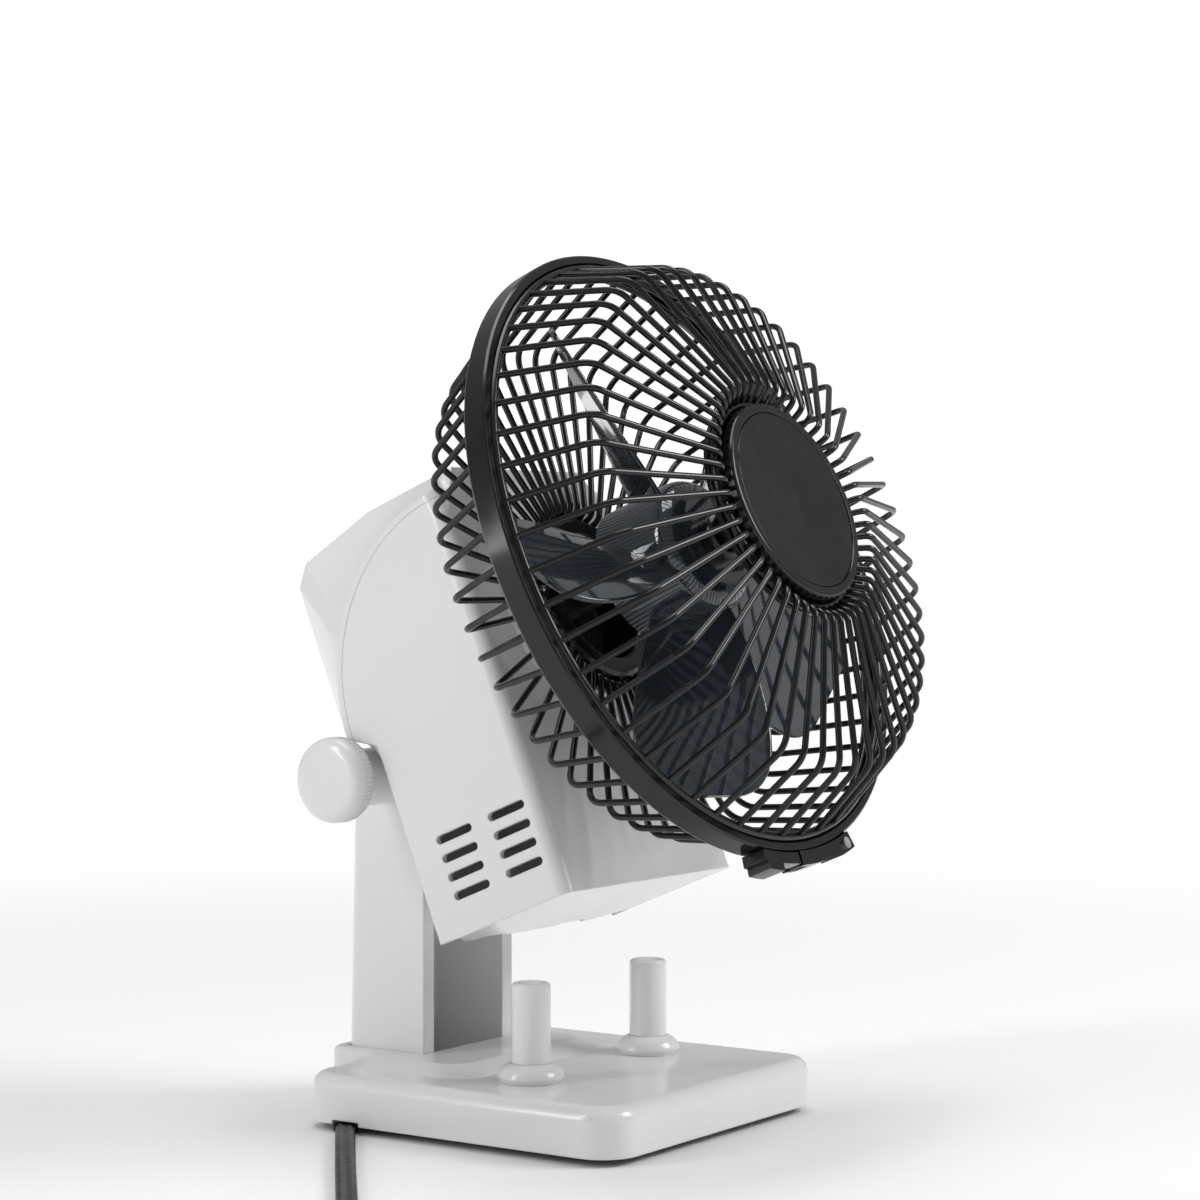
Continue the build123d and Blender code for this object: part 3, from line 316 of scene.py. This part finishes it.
def tail_points(last, heading):
    """From the coil's last turn straight into the plug, rising to its height."""
    plug_low, plug_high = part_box("mains_plug")
    middle = (plug_low.z + plug_high.z) / 2
    steps = [(0.008, 0.0), (0.016, 0.3), (0.023, 0.9), (0.030, 1.0)]
    rise = middle - last[2]
    return [
        (last[0] + heading[0] * d, last[1] + heading[1] * d, last[2] + rise * share)
        for d, share in steps]


def smooth_line(points):
    """The points read along a NURBS spline with these control points."""
    data = bpy.data.curves.new("cord_line", "CURVE")
    data.dimensions = "3D"
    data.resolution_u = 6
    spline = data.splines.new("NURBS")
    spline.points.add(len(points) - 1)
    for place, point in zip(spline.points, points):
        place.co = (*point, 1)
    spline.order_u = 3
    spline.use_endpoint_u = True
    holder = bpy.data.objects.new("cord_line", data)
    bpy.context.scene.collection.objects.link(holder)
    bpy.context.view_layer.update()
    read = bpy.data.meshes.new_from_object(holder.evaluated_get(bpy.context.evaluated_depsgraph_get()))
    line = [v.co.copy() for v in read.vertices]
    bpy.data.objects.remove(holder)
    bpy.data.meshes.remove(read)
    return line


def twin_section():
    """Outline of a flat twin cord: two round cores with a groove between them."""
    core = CORD_T / 2
    apart = (CORD_W - CORD_T) / 2
    outline = []
    for side, first in ((1, -120), (-1, 60)):
        for step in range(11):
            angle = math.radians(first + 24 * step)
            outline.append((side * apart + core * math.cos(angle), core * math.sin(angle)))
    return outline


def make_cord():
    """The cord from the base to its plug, as one swept tube."""
    turns = coil_points()
    end = Vector(turns[-1])
    blades_low, blades_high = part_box("plug_blades")
    blades_centre = (blades_low + blades_high) / 2
    heading = Vector((blades_centre.x - end.x, blades_centre.y - end.y, 0)).normalized()
    line = smooth_line(ROUTE + turns + tail_points(turns[-1], heading))
    section = twin_section()
    vertices = []
    for i, place in enumerate(line):
        ahead = (line[min(i + 1, len(line) - 1)] - line[max(i - 1, 0)]).normalized()
        across = Vector((-ahead.y, ahead.x, 0)).normalized()
        up = ahead.cross(across)
        vertices += [place + across * x + up * y for x, y in section]
    count = len(section)
    faces = []
    for i in range(len(line) - 1):
        for j in range(count):
            k = (j + 1) % count
            faces.append((i * count + j, i * count + k, (i + 1) * count + k, (i + 1) * count + j))
    faces.append(tuple(reversed(range(count))))
    faces.append(tuple(range((len(line) - 1) * count, len(line) * count)))
    mesh = bpy.data.meshes.new("flat_cord")
    mesh.from_pydata([tuple(v) for v in vertices], [], faces)
    mesh.validate()
    mesh.update()
    for polygon in mesh.polygons:
        polygon.use_smooth = len(polygon.vertices) == 4
    cord = bpy.data.objects.new("flat_cord", mesh)
    bpy.context.scene.collection.objects.link(cord)
    mesh.materials.append(FINISHES["cord_rubber"])
    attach(cord, "base")
    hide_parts("power_cord", "cord_coil", "cord_tail")


# ---------------------------------------------------------------- guard collar
def head_frame():
    """The fan axis: its origin in the rim's rear plane, forward and upward directions."""
    spin = next(joint for joint in frame["joints"] if joint["name"] == "rotor_spin")
    forward = Vector(spin["axis"]).normalized()
    return Vector(spin["pos_m"]), forward, forward.cross(Vector((1, 0, 0)))


OUTER_EDGE = 0.0002      # outline points this close to the largest radius are toothed


def lathe(name, profile, segments, teeth=0, tooth_depth=0.0):
    """A ring about the fan axis from a closed (radius, forward) outline; its outer edge may be toothed."""
    origin, forward, upward = head_frame()
    widest = max(radius for radius, _ in profile)
    vertices = []
    for i in range(segments):
        angle = 2 * math.pi * i / segments
        out = Vector((1, 0, 0)) * math.sin(angle) + upward * math.cos(angle)
        notch = tooth_depth * (0.5 - 0.5 * math.cos(teeth * angle))
        for radius, ahead in profile:
            cut = notch if radius > widest - OUTER_EDGE else 0.0
            vertices.append(origin + out * (radius - cut) + forward * ahead)
    count = len(profile)
    faces = []
    for i in range(segments):
        after = (i + 1) % segments
        for j in range(count):
            k = (j + 1) % count
            faces.append((i * count + j, after * count + j, after * count + k, i * count + k))
    mesh = bpy.data.meshes.new(name)
    mesh.from_pydata([tuple(v) for v in vertices], [], faces)
    mesh.update()
    piece = bpy.data.objects.new(name, mesh)
    bpy.context.scene.collection.objects.link(piece)
    return piece


def make_collar():
    """The black threaded collar that holds the rear guard and lines the motor's opening."""
    outline = [
        (0.0207, -0.0492), (0.0207, -0.0340), (0.0211, -0.0333), (0.0219, -0.0329),
        (0.0258, -0.0329), (0.0265, -0.0333), (0.0272, -0.0337), (0.0278, -0.0345),
        (0.0278, -0.0373), (0.0264, -0.0373), (0.0264, -0.0339), (0.0214, -0.0339),
        (0.0214, -0.0492)]
    collar = lathe("guard_collar", outline, 144, teeth=24, tooth_depth=0.0006)
    collar.data.materials.append(FINISHES["black_plastic"])
    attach(collar, "head")
    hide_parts("guard_nut")


# ---------------------------------------------------------------- the scene
make_camera()
make_world(glow=0.33, seen=1.05)
make_floor(12, near=0.25, far=0.9)
area_light("key", (0.9, -1.5, 1.3), (0, 0, 0.12), 0.9, 0.9, 24)
area_light("top", (0.1, 0.1, 1.8), (0, 0, 0.1), 1.0, 1.0, 13)
area_light("left_strip", (-1.2, 0.7, 0.7), (0, 0, 0.15), 0.25, 1.1, 7)
bpy.context.scene.view_settings.view_transform = "Standard"
paint_nodes()
make_collar()
make_cord()
